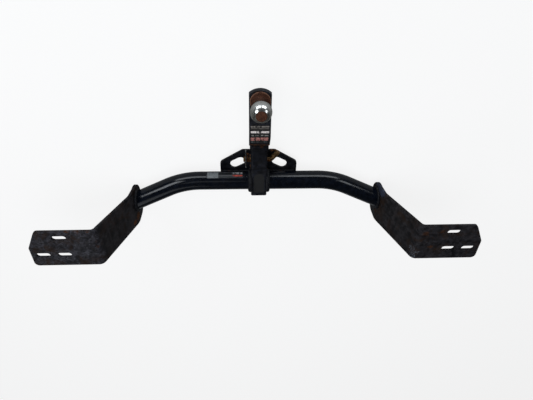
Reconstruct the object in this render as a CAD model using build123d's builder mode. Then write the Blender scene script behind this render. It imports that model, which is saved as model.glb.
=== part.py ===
"""Trailer hitch receiver with a ball mount, in millimetres.

+Z is up, +Y is the way the vehicle drives and +X is its right-hand side. The origin is on the
top of the two frame flanges, midway between their four inner slots.
"""
from build123d import *
import os
from math import cos, radians, sin, sqrt, tan

# Crossbar, a bent round tube in two halves that meet the receiver
bar_od = 48.3
bar_wall = 3.7
bar_drop = 177.0  # flange tops down to the tube's axis
bar_setback = 62.0  # origin back to the tube's axis
bar_bend_x = 199.0  # where the two straight runs would meet
bar_bend_radius = 194.0
bar_bend_angle = 26.2

# Receiver, a square tube with a collar round its mouth
receiver_side = 41.3
receiver_wall = 4.55
receiver_corner = 5.0
receiver_bore_corner = 1.6
receiver_front = 36.0  # ahead of the crossbar's axis
receiver_length = 155.0
pin_from_mouth = 53.0
receiver_pin_hole = 13.5
mouth_collar_wall = 2.85
mouth_collar_length = 12.0
mouth_collar_chamfer = 0.8

# End brackets, one flat bar each, bent twice
bracket_thickness = 6.35
bracket_rear = -49.0
bracket_front = 63.0
foot_rear = -43.0
foot_shoulder_above = 20.0  # where the foot reaches its full width, above the tube's axis
foot_neck = -38.5  # rear edge where the foot runs into the leaning web
foot_neck_above = 34.0
foot_neck_radius = 18.0
foot_front = 66.0
bracket_fold_radius = 16.0
bracket_foot_x = 330.0  # inner face of the upright foot that the tube is welded to
bracket_foot_below = 46.0  # foot's lower edge below the tube's axis
bracket_knee_above = 18.0  # where the web starts to lean, above the tube's axis
bracket_knee_radius = 60.0
bracket_web_lean = 20.5
foot_rear_corner = 52.0
foot_front_corner = 25.0
flange_tip_x = 553.5
flange_tip_y = 3.0
flange_rear_x = 527.0
flange_front_x = 555.0
flange_corner = 11.0

# Bolt slots in the flanges
slot_width = 14.3
slot_length = 34.0
slot_x = 475.0
outer_slot_x = 526.0
slot_rows = 55.5

# Safety chain plate
chain_plate_thickness = 6.35
chain_plate_half_width = 101.0
chain_plate_rear = 81.0  # behind the tube's axis
chain_plate_rear_half = 42.5
chain_plate_shoulder = 45.0  # behind the tube's axis, where the sides begin
chain_plate_corner = 12.0
chain_plate_gap = 0.5
chain_slot_width = 25.0
chain_slot_pitch = 17.0
chain_slot_angle = 28.0
chain_slot_x = 55.0
chain_slot_back = 42.5

# Ball mount, a square shank with a bent flat tongue on it
shank_side = 31.75
shank_corner = 2.0
shank_front_inset = 16.0  # shank's front end behind the receiver's front end
shank_pin_hole = 14.3
shank_overhang = 21.0  # shank's rear end behind the mouth
tongue_width = 50.8
tongue_thickness = 12.7
tongue_rise = 49.0  # its top above the receiver's axis
tongue_toe_gap = 2.0  # between the tongue's toe and the mouth
tongue_toe_height = 5.6  # toe's top above the shank
tongue_knee_back = 39.0  # behind the mouth, where the tongue levels out
tongue_knee_radius = 14.0
tongue_tip_radius = 37.5
tongue_tip_back = 25.8  # behind the ball's axis

# Hitch ball and what clamps it
ball_diameter = 47.6
ball_height = 51.0  # centre above the tongue
ball_back = 133.0  # ball's axis behind the mouth
ball_flat_radius = 10.5
ball_neck_radius = 11.0
ball_collar_radius = 23.5
ball_collar_height = 3.5
ball_collar_chamfer = 1.2
ball_neck_fillet = 6.0
ball_stud_diameter = 19.05
stud_running_clearance = 0.3
washer_outer = 31.5
washer_thickness = 4.8
washer_split = 3.0
nut_across_flats = 28.6
nut_height = 16.3
nut_clearance = 0.05
stud_beyond_nut = 3.2

# Hitch pin and its spring clip
pin_diameter = 12.7
pin_clip_end = 40.0  # from the receiver's middle to the end with the clip
pin_bend_x = 30.0  # from the middle to the bend
pin_leg_length = 31.0
pin_leg_turn = 50.0
pin_bend_radius = 13.0
pin_chamfer = 1.5
clip_wire = 3.0
clip_hole = 3.6
clip_x = 33.5
clip_tip = 24.0
clip_back = 33.0
clip_loop_height = 11.0
clip_loop_radius = 5.2
clip_shoulder_back = 22.0
clip_shoulder_radius = 8.0
clip_foot = 12.0
clip_foot_radius = 5.0
clip_flare = (20.0, 8.5)
clip_seat_slope = 22.0
clip_seat_clearance = 0.15

# Weld beads and stickers
bracket_bead = 6.5
bead_lip = 0.6  # bead's thickness where it runs out on the tube
receiver_bead = 7.5
receiver_bead_rise = 1.85  # above and below the tube
plate_bead = 5.0
bar_bead = 9.0
bar_bead_lean = 2.0
tongue_bead = 6.0
label_thickness = 0.3
label_corner = 2.0
label_clearance = 0.05
tongue_label_inset = 4.0
tongue_label_back = 34.0  # behind the tongue's upper bend
tongue_label_ahead = 25.0  # ahead of it, down the slope
bar_label_start = 42.0  # from the receiver's middle
bar_label_length = 94.0
bar_label_from = 50.0  # degrees from the top of the tube towards the rear
bar_label_to = 98.0

# Places that follow from the sizes above
bar_radius = bar_od / 2
bar_y = -bar_setback
bar_z = -bar_drop
receiver_half = receiver_side / 2
mouth_y = bar_y + receiver_front - receiver_length
pin_y = mouth_y + pin_from_mouth
shank_half = shank_side / 2
shank_top = bar_z + shank_half
tongue_top = bar_z + tongue_rise
tongue_under = tongue_top - tongue_thickness
ball_y = mouth_y - ball_back
stud_radius = ball_stud_diameter / 2
washer_under = tongue_under - washer_thickness
nut_under = washer_under - nut_height
plate_top = bar_z - receiver_half
plate_under = plate_top - chain_plate_thickness
foot_y = bar_y + (bracket_foot_x - bar_bend_x) * tan(radians(bar_bend_angle))
SIDES = {"right": 1, "left": -1}


def finish(piece, name):
    """Labels a finished piece and writes it to its own file."""
    piece.part.label = name
    export_step(piece.part, f"parts/{name}.step")


def bar_solid(side, radius):
    """One half of the crossbar as a solid of this radius, from the receiver to its bracket."""
    run = bracket_foot_x + bar_od - bar_bend_x
    end_y = bar_y + run * tan(radians(bar_bend_angle))
    with BuildPart() as solid:
        with BuildLine() as path:
            FilletPolyline(
                (side * receiver_half, bar_y, bar_z),
                (side * bar_bend_x, bar_y, bar_z),
                (side * (bar_bend_x + run), end_y, bar_z),
                radius=bar_bend_radius,
            )
        with BuildSketch(Plane(origin=(side * receiver_half, bar_y, bar_z), z_dir=(side, 0, 0))):
            Circle(radius)
        sweep(path=path.line)
        split(bisect_by=Plane.YZ.offset(side * bracket_foot_x), keep=Keep.BOTTOM if side > 0 else Keep.TOP)
    return solid.part


os.makedirs("parts", exist_ok=True)

# Crossbar halves
for side_name, side in SIDES.items():
    with BuildPart() as crossbar:
        add(bar_solid(side, bar_radius))
        add(bar_solid(side, bar_radius - bar_wall), mode=Mode.SUBTRACT)
    finish(crossbar, f"crossbar_{side_name}")

# Receiver tube with the cross hole for the pin
with BuildPart() as receiver:
    with BuildSketch(Plane(origin=(0, mouth_y, bar_z), x_dir=(1, 0, 0), z_dir=(0, 1, 0))):
        RectangleRounded(receiver_side, receiver_side, receiver_corner)
        bore = receiver_side - 2 * receiver_wall
        RectangleRounded(bore, bore, receiver_bore_corner, mode=Mode.SUBTRACT)
    extrude(amount=receiver_length)
    with Locations((0, pin_y, bar_z)):
        Cylinder(receiver_pin_hole / 2, 2 * receiver_side, rotation=(0, 90, 0), mode=Mode.SUBTRACT)
finish(receiver, "receiver_tube")

collar_side = receiver_side + 2 * mouth_collar_wall
with BuildPart() as mouth_collar:
    with BuildSketch(Plane(origin=(0, mouth_y, bar_z), x_dir=(1, 0, 0), z_dir=(0, 1, 0))):
        RectangleRounded(collar_side, collar_side, receiver_corner + mouth_collar_wall)
        RectangleRounded(receiver_side, receiver_side, receiver_corner, mode=Mode.SUBTRACT)
    extrude(amount=mouth_collar_length)
    near_end, far_end = mouth_collar.faces().filter_by(Axis.Y).sort_by(Axis.Y)
    chamfer(near_end.outer_wire().edges() + far_end.outer_wire().edges(), mouth_collar_chamfer)
finish(mouth_collar, "mouth_collar")

# Safety chain plate under the receiver, with a slanted slot on each side
plate_front = bar_y - sqrt(bar_radius**2 - receiver_half**2) - chain_plate_gap
with BuildPart() as chain_plate:
    with BuildSketch(Plane.XY.offset(plate_under)):
        with BuildLine():
            Polyline(
                (chain_plate_half_width, plate_front),
                (chain_plate_half_width, bar_y - chain_plate_shoulder),
                (chain_plate_rear_half, bar_y - chain_plate_rear),
                (-chain_plate_rear_half, bar_y - chain_plate_rear),
                (-chain_plate_half_width, bar_y - chain_plate_shoulder),
                (-chain_plate_half_width, plate_front),
                close=True,
            )
        outline = make_face()
        shoulders = outline.vertices().group_by(Axis.Y)[1]
        fillet(shoulders + outline.vertices().group_by(Axis.Y)[0], chain_plate_corner)
        for side in SIDES.values():
            with Locations(Location((side * chain_slot_x, bar_y - chain_slot_back), side * chain_slot_angle)):
                SlotCenterToCenter(chain_slot_pitch, chain_slot_width, mode=Mode.SUBTRACT)
    extrude(amount=chain_plate_thickness)
finish(chain_plate, "safety_chain_plate")

# End brackets: the bar's bent profile, its ends cut to shape, and three bolt slots
knee_z = bar_z + bracket_knee_above
fold_x = bracket_foot_x - knee_z * tan(radians(bracket_web_lean))
foot_bottom = bar_z - bracket_foot_below
neck = (foot_neck, bar_z + foot_neck_above)
shoulder = (foot_rear, bar_z + foot_shoulder_above)
with BuildPart() as bracket:
    with BuildSketch(Plane.XZ):
        with BuildLine():
            FilletPolyline(
                (bracket_foot_x, foot_bottom),
                (bracket_foot_x, knee_z),
                (fold_x, 0),
                (flange_front_x + flange_corner, 0),
                radius=(bracket_knee_radius, bracket_fold_radius),
            )
            offset(amount=bracket_thickness, side=Side.RIGHT, closed=True)
        make_face()
    extrude(amount=foot_front - bracket_rear, both=True)
    with BuildSketch(Plane.XY) as flange:
        with BuildLine():
            Polyline(
                (0, bracket_rear),
                (flange_rear_x, bracket_rear),
                (flange_tip_x, flange_tip_y),
                (flange_front_x, bracket_front),
                (flange_front_x, foot_front),
                (0, foot_front),
                close=True,
            )
        make_face()
        for corner in ((flange_rear_x, bracket_rear), (flange_tip_x, flange_tip_y)):
            fillet(flange.vertices().sort_by_distance(corner)[0], flange_corner)
    extrude(amount=2 * bar_drop, both=True, mode=Mode.INTERSECT)
    with BuildSketch(Plane.YZ) as foot:
        with BuildLine():
            Polyline(
                (foot_rear, foot_bottom),
                (foot_front, foot_bottom),
                (foot_front, knee_z),
                (bracket_front, -bracket_fold_radius),
                (bracket_front, bracket_thickness),
                (bracket_rear, bracket_thickness),
                (bracket_rear, -bracket_fold_radius),
                neck,
                shoulder,
                close=True,
            )
        make_face()
        for corner, rounding in (
            (neck, foot_neck_radius),
            (shoulder, foot_neck_radius),
            ((foot_rear, foot_bottom), foot_rear_corner),
            ((foot_front, foot_bottom), foot_front_corner),
        ):
            fillet(foot.vertices().sort_by_distance(corner)[0], rounding)
    extrude(amount=flange_front_x + bar_od, mode=Mode.INTERSECT)
    front_tip = bracket.edges().filter_by(Axis.Z).sort_by(Axis.X)[-1]
    fillet(front_tip, flange_corner)
    with BuildSketch(Plane.XY):
        with Locations((slot_x, -slot_rows / 2), (slot_x, slot_rows / 2), (outer_slot_x, slot_rows / 2)):
            SlotOverall(slot_length, slot_width)
    extrude(amount=2 * bracket_thickness, both=True, mode=Mode.SUBTRACT)
finish(bracket, "end_bracket_right")

with BuildPart() as bracket_left:
    mirror(bracket.part, about=Plane.YZ)
finish(bracket_left, "end_bracket_left")

# Weld beads round the crossbar's ends, on the brackets and on the receiver
slant = tan(radians(bar_bend_angle))
stretch = 1 / cos(radians(bar_bend_angle))
receiver_welds = []
for side_name, side in SIDES.items():
    with BuildPart() as bracket_weld:
        with BuildSketch(Plane(origin=(side * bracket_foot_x, foot_y, bar_z), x_dir=(0, 1, 0), z_dir=(side, 0, 0))):
            Ellipse(bar_radius * stretch + bracket_bead, bar_radius + bracket_bead)
        bead_y = foot_y - bracket_bead * slant
        bead_x = side * (bracket_foot_x - bracket_bead)
        with BuildSketch(Plane(origin=(bead_x, bead_y, bar_z), x_dir=(0, 1, 0), z_dir=(side, 0, 0))):
            Ellipse((bar_radius + bead_lip) * stretch, bar_radius + bead_lip)
        loft()
        add(bar_solid(side, bar_radius), mode=Mode.SUBTRACT)
    finish(bracket_weld, f"bracket_weld_{side_name}")

    with BuildPart() as receiver_weld:
        with BuildSketch(Plane.YZ.offset(side * receiver_half)):
            with Locations((bar_y, bar_z)):
                Circle(bar_radius + receiver_bead)
        with BuildSketch(Plane.YZ.offset(side * (receiver_half + receiver_bead))):
            with Locations((bar_y, bar_z)):
                Circle(bar_radius + bead_lip)
        loft()
        with Locations((0, bar_y, bar_z)):
            Box(2 * bar_od, 2 * bar_od, bar_od + 2 * receiver_bead_rise, mode=Mode.INTERSECT)
        add(bar_solid(side, bar_radius), mode=Mode.SUBTRACT)
        add(chain_plate.part, mode=Mode.SUBTRACT)
    finish(receiver_weld, f"receiver_weld_{side_name}")
    receiver_welds.append(receiver_weld.part)

# Weld beads along the chain plate, beside the receiver and behind the crossbar
bead_rear = bar_y - chain_plate_rear + chain_plate_corner
for side_name, side in SIDES.items():
    corner_x = side * receiver_half
    with BuildPart() as plate_weld:
        with BuildSketch(Plane(origin=(0, bead_rear, 0), x_dir=(1, 0, 0), z_dir=(0, -1, 0))):
            with BuildLine():
                Polyline(
                    (corner_x - side * receiver_corner, plate_top),
                    (corner_x + side * plate_bead, plate_top),
                    (corner_x, plate_top + receiver_corner + plate_bead),
                    (corner_x - side * receiver_corner, plate_top + receiver_corner),
                    close=True,
                )
            make_face()
        extrude(amount=bead_rear - plate_front)
        add(receiver.part, mode=Mode.SUBTRACT)
        add(bar_solid(side, bar_radius), mode=Mode.SUBTRACT)
        add(receiver_welds, mode=Mode.SUBTRACT)
    finish(plate_weld, f"chain_plate_weld_{side_name}")

bead_start = receiver_half + plate_bead
bead_length = chain_plate_half_width - plate_bead - bead_start
with BuildPart() as bar_weld:
    for side in SIDES.values():
        with BuildSketch(Plane.YZ.offset(side * bead_start)):
            with BuildLine():
                Polyline(
                    (bar_y - bar_radius, plate_top),
                    (bar_y, plate_top),
                    (bar_y, plate_top + bar_bead),
                    (bar_y - bar_radius + bar_bead_lean, plate_top + bar_bead),
                    close=True,
                )
            make_face()
        extrude(amount=side * bead_length)
    for side in SIDES.values():
        add(bar_solid(side, bar_radius), mode=Mode.SUBTRACT)
    add(receiver_welds, mode=Mode.SUBTRACT)
finish(bar_weld, "crossbar_weld")

# Ball mount: the square shank, and the flat tongue bent up from it
shank_rear = mouth_y - shank_overhang
shank_front = mouth_y + receiver_length - shank_front_inset
with BuildPart() as shank:
    with BuildSketch(Plane(origin=(0, shank_rear, bar_z), x_dir=(1, 0, 0), z_dir=(0, 1, 0))):
        RectangleRounded(shank_side, shank_side, shank_corner)
    extrude(amount=shank_front - shank_rear)
    chamfer(shank.faces().sort_by(Axis.Y)[-1].edges(), shank_corner)
    with Locations((0, pin_y, bar_z)):
        Cylinder(shank_pin_hole / 2, 2 * shank_side, rotation=(0, 90, 0), mode=Mode.SUBTRACT)
finish(shank, "ball_mount_shank")

toe_y = mouth_y - tongue_toe_gap
knee_y = mouth_y - tongue_knee_back
toe_top = shank_top + tongue_toe_height
tongue_slope = (tongue_top - toe_top) / (toe_y - knee_y)
slope_drop = tongue_thickness * sqrt(1 + tongue_slope**2)
under_knee_y = knee_y - (slope_drop - tongue_thickness) / tongue_slope
heel_y = toe_y - (slope_drop - tongue_toe_height) / tongue_slope
tip_y = ball_y - tongue_tip_back
with BuildPart() as tongue:
    with BuildSketch(Plane.YZ) as profile:
        with BuildLine():
            Polyline(
                (toe_y, shank_top),
                (toe_y, toe_top),
                (knee_y, tongue_top),
                (tip_y, tongue_top),
                (tip_y, tongue_under),
                (under_knee_y, tongue_under),
                (heel_y, shank_top),
                close=True,
            )
        make_face()
        for knee in ((knee_y, tongue_top), (under_knee_y, tongue_under)):
            fillet(profile.vertices().sort_by_distance(knee)[0], tongue_knee_radius)
    extrude(amount=tongue_width / 2, both=True)
    with BuildSketch(Plane.XY.offset(bar_z)):
        with Locations((0, tip_y + tongue_tip_radius)):
            Circle(tongue_tip_radius)
        with Locations((0, tip_y + tongue_tip_radius)):
            Rectangle(2 * tongue_tip_radius, mouth_y - tip_y, align=(Align.CENTER, Align.MIN))
    extrude(amount=2 * tongue_rise, mode=Mode.INTERSECT)
    with Locations((0, ball_y, tongue_top)):
        Cylinder(stud_radius + stud_running_clearance, 3 * tongue_thickness, mode=Mode.SUBTRACT)
finish(tongue, "ball_mount_tongue")

bead_top = shank_top + tongue_slope * (heel_y - shank_rear + tongue_bead)
bead_side = shank_half + tongue_bead
with BuildPart() as tongue_weld:
    for side in SIDES.values():
        with BuildSketch(Plane(origin=(0, toe_y, 0), x_dir=(1, 0, 0), z_dir=(0, -1, 0))):
            with BuildLine():
                Polyline(
                    (side * (shank_half - shank_corner), shank_top - tongue_bead),
                    (side * shank_half, shank_top - tongue_bead),
                    (side * bead_side, shank_top),
                    (side * (shank_half - shank_corner), shank_top),
                    close=True,
                )
            make_face()
        extrude(amount=toe_y - shank_rear)
    with BuildSketch(Plane.YZ):
        with BuildLine():
            Polyline(
                (heel_y, shank_top),
                (shank_rear, shank_top - tongue_bead),
                (shank_rear - tongue_bead, bead_top),
                (heel_y, bead_top),
                close=True,
            )
        make_face()
    extrude(amount=bead_side, both=True)
    add(shank.part, mode=Mode.SUBTRACT)
    add(tongue.part, mode=Mode.SUBTRACT)
finish(tongue_weld, "tongue_weld")

# Hitch ball, turned in one piece with its collar and stud
ball_radius = ball_diameter / 2
ball_z = tongue_top + ball_height
collar_top = tongue_top + ball_collar_height
stud_end = nut_under - stud_beyond_nut
neck_top = ball_z - sqrt(ball_radius**2 - ball_neck_radius**2)
flat_z = ball_z + sqrt(ball_radius**2 - ball_flat_radius**2)
with BuildPart() as ball:
    with BuildSketch(Plane(origin=(0, ball_y, 0), x_dir=(1, 0, 0), z_dir=(0, -1, 0))):
        with BuildLine():
            Polyline(
                (ball_neck_radius, neck_top),
                (ball_neck_radius, collar_top),
                (ball_collar_radius - ball_collar_chamfer, collar_top),
                (ball_collar_radius, collar_top - ball_collar_chamfer),
                (ball_collar_radius, tongue_top),
                (stud_radius, tongue_top),
                (stud_radius, stud_end + ball_collar_chamfer),
                (stud_radius - ball_collar_chamfer, stud_end),
                (0, stud_end),
                (0, flat_z),
                (ball_flat_radius, flat_z),
            )
            ThreePointArc((ball_flat_radius, flat_z), (ball_radius, ball_z), (ball_neck_radius, neck_top))
        profile = make_face()
        fillet(profile.vertices().sort_by_distance((ball_neck_radius, collar_top))[0], ball_neck_fillet)
    revolve(axis=Axis((0, ball_y, 0), (0, 0, 1)))
finish(ball, "hitch_ball")

# Split lock washer and hexagon nut under the tongue
with BuildPart() as washer:
    with BuildSketch(Plane.XY.offset(washer_under)):
        with Locations((0, ball_y)):
            Circle(washer_outer / 2)
            Circle(stud_radius + stud_running_clearance, mode=Mode.SUBTRACT)
        with Locations((0, ball_y - washer_outer / 2)):
            Rectangle(washer_split, washer_outer, mode=Mode.SUBTRACT)
    extrude(amount=washer_thickness)
finish(washer, "lock_washer")

with BuildPart() as nut_blank:
    with Locations((0, ball_y, (washer_under + nut_under) / 2)):
        Cylinder(nut_across_flats / sqrt(3), nut_height)
    chamfer(nut_blank.edges(), nut_across_flats / sqrt(3) - nut_across_flats / 2)
with BuildPart() as nut:
    with BuildSketch(Plane.XY.offset(nut_under)):
        with Locations((0, ball_y)):
            RegularPolygon(nut_across_flats / 2, 6, major_radius=False)
            Circle(stud_radius + nut_clearance, mode=Mode.SUBTRACT)
    extrude(amount=nut_height)
    add(nut_blank.part, mode=Mode.INTERSECT)
finish(nut, "ball_nut")

# Hitch pin, bent at one end and cross drilled at the other
pin_radius = pin_diameter / 2
leg_turn = radians(pin_leg_turn)
with BuildPart() as pin:
    with BuildLine() as path:
        FilletPolyline(
            (pin_clip_end, pin_y, bar_z),
            (-pin_bend_x, pin_y, bar_z),
            (-pin_bend_x - pin_leg_length * cos(leg_turn), pin_y - pin_leg_length * sin(leg_turn), bar_z),
            radius=pin_bend_radius,
        )
    with BuildSketch(Plane(origin=(pin_clip_end, pin_y, bar_z), z_dir=(-1, 0, 0))):
        Circle(pin_radius)
    sweep(path=path.line)
    flat_ends = pin.faces().filter_by(GeomType.PLANE)
    chamfer(flat_ends.edges(), pin_chamfer)
    with Locations((clip_x, pin_y, bar_z)):
        Cylinder(clip_hole / 2, 2 * pin_diameter, rotation=(90, 0, 0), mode=Mode.SUBTRACT)
finish(pin, "hitch_pin")

# Spring clip: a straight leg through the pin and a waved leg that hugs it
seat_radius = pin_radius + clip_wire / 2 + clip_seat_clearance
seat_slope = radians(clip_seat_slope)
seat_top = seat_radius / cos(seat_slope)
foot_height = seat_top - clip_foot * tan(seat_slope)
clip_plane = Plane(origin=(clip_x, pin_y, bar_z), x_dir=(0, 1, 0), z_dir=(1, 0, 0))
with BuildPart() as clip:
    with BuildLine(clip_plane) as path:
        FilletPolyline(
            (clip_tip, 0),
            (-clip_back, 0),
            (-clip_back, clip_loop_height),
            (-clip_shoulder_back, clip_loop_height),
            (-clip_foot, foot_height),
            (0, seat_top),
            (clip_foot, foot_height),
            clip_flare,
            radius=(
                clip_loop_radius,
                clip_loop_radius,
                clip_shoulder_radius,
                clip_foot_radius,
                seat_radius,
                clip_foot_radius,
            ),
        )
    with BuildSketch(Plane(origin=path.line @ 0, z_dir=path.line % 0)):
        Circle(clip_wire / 2)
    sweep(path=path.line)
finish(clip, "pin_clip")

# Blank stickers on the tongue and on the crossbar
label_rear_y = knee_y - tongue_label_back
label_front_y = knee_y + tongue_label_ahead
label_width = tongue_width - 2 * tongue_label_inset
with BuildPart() as tongue_label:
    with BuildSketch(Plane.YZ):
        with BuildLine():
            FilletPolyline(
                (label_rear_y, tongue_top),
                (knee_y, tongue_top),
                (label_front_y, tongue_top - tongue_slope * tongue_label_ahead),
                radius=tongue_knee_radius,
            )
            offset(amount=label_thickness, side=Side.LEFT, closed=True)
        make_face()
    extrude(amount=label_width / 2, both=True)
    with BuildSketch(Plane.XY.offset(bar_z)):
        with Locations((0, (label_rear_y + label_front_y) / 2)):
            RectangleRounded(label_width, label_front_y - label_rear_y, label_corner)
    extrude(amount=2 * tongue_rise, mode=Mode.INTERSECT)
finish(tongue_label, "tongue_label")

with BuildPart() as bar_label:
    with BuildSketch(Plane.YZ.offset(bar_label_start)):
        with BuildLine():
            start = 90 + bar_label_from
            span = bar_label_to - bar_label_from
            label_radius = bar_radius + label_clearance
            inner = CenterArc((bar_y, bar_z), label_radius, start, span)
            outer = CenterArc((bar_y, bar_z), label_radius + label_thickness, start, span)
            Line(inner @ 0, outer @ 0)
            Line(inner @ 1, outer @ 1)
        make_face()
    extrude(amount=bar_label_length)
finish(bar_label, "crossbar_label")
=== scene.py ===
"""Dresses the trailer hitch receiver: paint, rust, rippled weld beads, the turned ball, and the stage."""

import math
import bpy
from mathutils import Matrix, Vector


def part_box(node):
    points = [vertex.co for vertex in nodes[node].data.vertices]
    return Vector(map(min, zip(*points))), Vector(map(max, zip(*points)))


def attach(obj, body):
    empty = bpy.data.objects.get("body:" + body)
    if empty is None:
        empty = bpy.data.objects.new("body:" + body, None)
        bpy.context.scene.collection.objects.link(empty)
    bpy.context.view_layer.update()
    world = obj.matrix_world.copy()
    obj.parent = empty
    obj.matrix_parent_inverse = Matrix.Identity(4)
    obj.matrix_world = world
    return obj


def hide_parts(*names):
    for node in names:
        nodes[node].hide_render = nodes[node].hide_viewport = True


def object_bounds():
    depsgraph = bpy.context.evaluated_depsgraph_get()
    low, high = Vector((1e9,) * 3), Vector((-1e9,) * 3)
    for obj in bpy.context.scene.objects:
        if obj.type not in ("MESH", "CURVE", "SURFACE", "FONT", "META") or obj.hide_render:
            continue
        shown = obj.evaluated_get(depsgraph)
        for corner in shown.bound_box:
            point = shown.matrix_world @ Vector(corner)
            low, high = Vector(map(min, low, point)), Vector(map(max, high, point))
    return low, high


bl_info = {
    "name": "Trailer Hitch Receiver",
    "version": (1, 0, 0),
    "blender": (4, 5, 0),
    "location": "View3D > Sidebar > Hitch",
    "description": "Finishes and weld beads for a trailer hitch receiver with its ball mount",
    "category": "Object",
}

import bpy
from mathutils import Matrix, Vector

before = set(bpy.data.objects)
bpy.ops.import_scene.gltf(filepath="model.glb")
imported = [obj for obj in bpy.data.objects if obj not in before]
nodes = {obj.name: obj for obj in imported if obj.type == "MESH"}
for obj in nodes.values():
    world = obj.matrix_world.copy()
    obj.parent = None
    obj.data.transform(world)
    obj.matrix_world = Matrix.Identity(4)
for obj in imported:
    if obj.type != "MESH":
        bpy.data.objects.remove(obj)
cad_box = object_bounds()

SIDES = {"right": 1, "left": -1}

# Corners of the pieces, read from the frame, in metres
tube_low, tube_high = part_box("crossbar_right")
receiver_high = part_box("receiver_tube")[1]
plate_low, plate_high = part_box("safety_chain_plate")
tongue_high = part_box("ball_mount_tongue")[1]
shank_low, shank_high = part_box("ball_mount_shank")
ball_low, ball_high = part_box("hitch_ball")
washer_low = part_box("lock_washer")[0]
pin_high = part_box("hitch_pin")[1]
sticker_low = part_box("tongue_label")[0]
bar_sticker_low, bar_sticker_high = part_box("crossbar_label")

tube_radius = (tube_high.z - tube_low.z) / 2
tube_z = (tube_high.z + tube_low.z) / 2
foot_x = tube_high.x
receiver_half = receiver_high.x
ball_radius = ball_high.x
ball_y = (ball_high.y + ball_low.y) / 2

# The crossbar's axis, which the corners don't give
tube_y = -0.062
tube_drop = 0.177  # below the tops of the flanges
tube_slant = math.radians(26.2)  # of its outer runs
foot_y = 0.00246  # where it meets the brackets

# Weld beads and the stud's thread, as shares of a drop's radius and of the thread's pitch
DROP_SPACING = 0.72
DROP_FLATTENING = 0.38  # along the bead
BEAD_SINK = 0.3  # how deep a ring bead sits in the metal
THREAD_DEPTH = 0.61
THREAD_RIDGE = 0.56

# The Mix node's sockets, whose names repeat
MIX_FACTOR = 0
NUMBER_A, NUMBER_B, NUMBER_RESULT = 2, 3, 0
COLOUR_A, COLOUR_B, COLOUR_RESULT = 6, 7, 2

# Wear: colours of dust, scuffs and bare edges, and its reach and relief in metres
DUST = (0.034, 0.032, 0.034, 1)
SCUFF = (0.05, 0.05, 0.054, 1)
BARE_EDGE = (0.085, 0.078, 0.075, 1)
EDGE_REACH = 0.0012
RUST_RELIEF = 0.00012


class HitchPaint(bpy.types.PropertyGroup):
    """Colours of the paint, plating and rust."""

    tube_colour: bpy.props.FloatVectorProperty(
        name="Tube paint", description="Gloss black of the crossbar",
        subtype="COLOR", size=4, default=(0.0009, 0.0016, 0.0034, 1),
    )
    receiver_colour: bpy.props.FloatVectorProperty(
        name="Receiver paint", description="Satin black of receiver and ball mount",
        subtype="COLOR", size=4, default=(0.0034, 0.0037, 0.0052, 1),
    )
    bracket_colour: bpy.props.FloatVectorProperty(
        name="Bracket paint", description="Worn black of the end brackets",
        subtype="COLOR", size=4, default=(0.0068, 0.0062, 0.0068, 1),
    )
    rust_colour: bpy.props.FloatVectorProperty(
        name="Rust", description="Brown rust where the paint is gone",
        subtype="COLOR", size=4, default=(0.052, 0.023, 0.013, 1),
    )
    fresh_rust_colour: bpy.props.FloatVectorProperty(
        name="Fresh rust", description="Orange rust in the middle of a spot",
        subtype="COLOR", size=4, default=(0.17, 0.062, 0.018, 1),
    )
    chrome_colour: bpy.props.FloatVectorProperty(
        name="Chrome", description="Chrome of the hitch ball where it is rubbed bright",
        subtype="COLOR", size=4, default=(0.84, 0.84, 0.81, 1),
    )


class HitchWelds(bpy.types.PropertyGroup):
    """Sizes of the weld beads."""

    bracket_ripple: bpy.props.FloatProperty(
        name="Bracket bead", description="Radius of the bead round each tube end",
        subtype="DISTANCE", unit="LENGTH", default=0.0043,
    )
    receiver_ripple: bpy.props.FloatProperty(
        name="Receiver bead", description="Radius of the bead where the tube meets the receiver",
        subtype="DISTANCE", unit="LENGTH", default=0.0062,
    )
    plate_ripple: bpy.props.FloatProperty(
        name="Chain plate bead", description="Radius of the beads on the chain plate",
        subtype="DISTANCE", unit="LENGTH", default=0.0036,
    )
    tongue_ripple: bpy.props.FloatProperty(
        name="Tongue bead", description="Radius of the beads under the tongue",
        subtype="DISTANCE", unit="LENGTH", default=0.003,
    )
    grain: bpy.props.FloatProperty(
        name="Bead grain", description="Size of the facets of a finished bead",
        subtype="DISTANCE", unit="LENGTH", default=0.00055,
    )


class HitchBall(bpy.types.PropertyGroup):
    """Sizes of the turned ball."""

    flat_radius: bpy.props.FloatProperty(
        name="Flat", description="Radius of the flat on top of the ball",
        subtype="DISTANCE", unit="LENGTH", default=0.0105,
    )
    neck_radius: bpy.props.FloatProperty(
        name="Neck", description="Radius of the neck under the ball",
        subtype="DISTANCE", unit="LENGTH", default=0.011,
    )
    collar_radius: bpy.props.FloatProperty(
        name="Collar", description="Radius of the collar on the tongue",
        subtype="DISTANCE", unit="LENGTH", default=0.0235,
    )
    collar_height: bpy.props.FloatProperty(
        name="Collar height", description="Height of the collar",
        subtype="DISTANCE", unit="LENGTH", default=0.0035,
    )
    stud_radius: bpy.props.FloatProperty(
        name="Stud", description="Radius of the stud",
        subtype="DISTANCE", unit="LENGTH", default=0.009525,
    )
    thread_pitch: bpy.props.FloatProperty(
        name="Thread pitch", description="Rise of the thread in one turn",
        subtype="DISTANCE", unit="LENGTH", default=0.0015875,
    )


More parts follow.
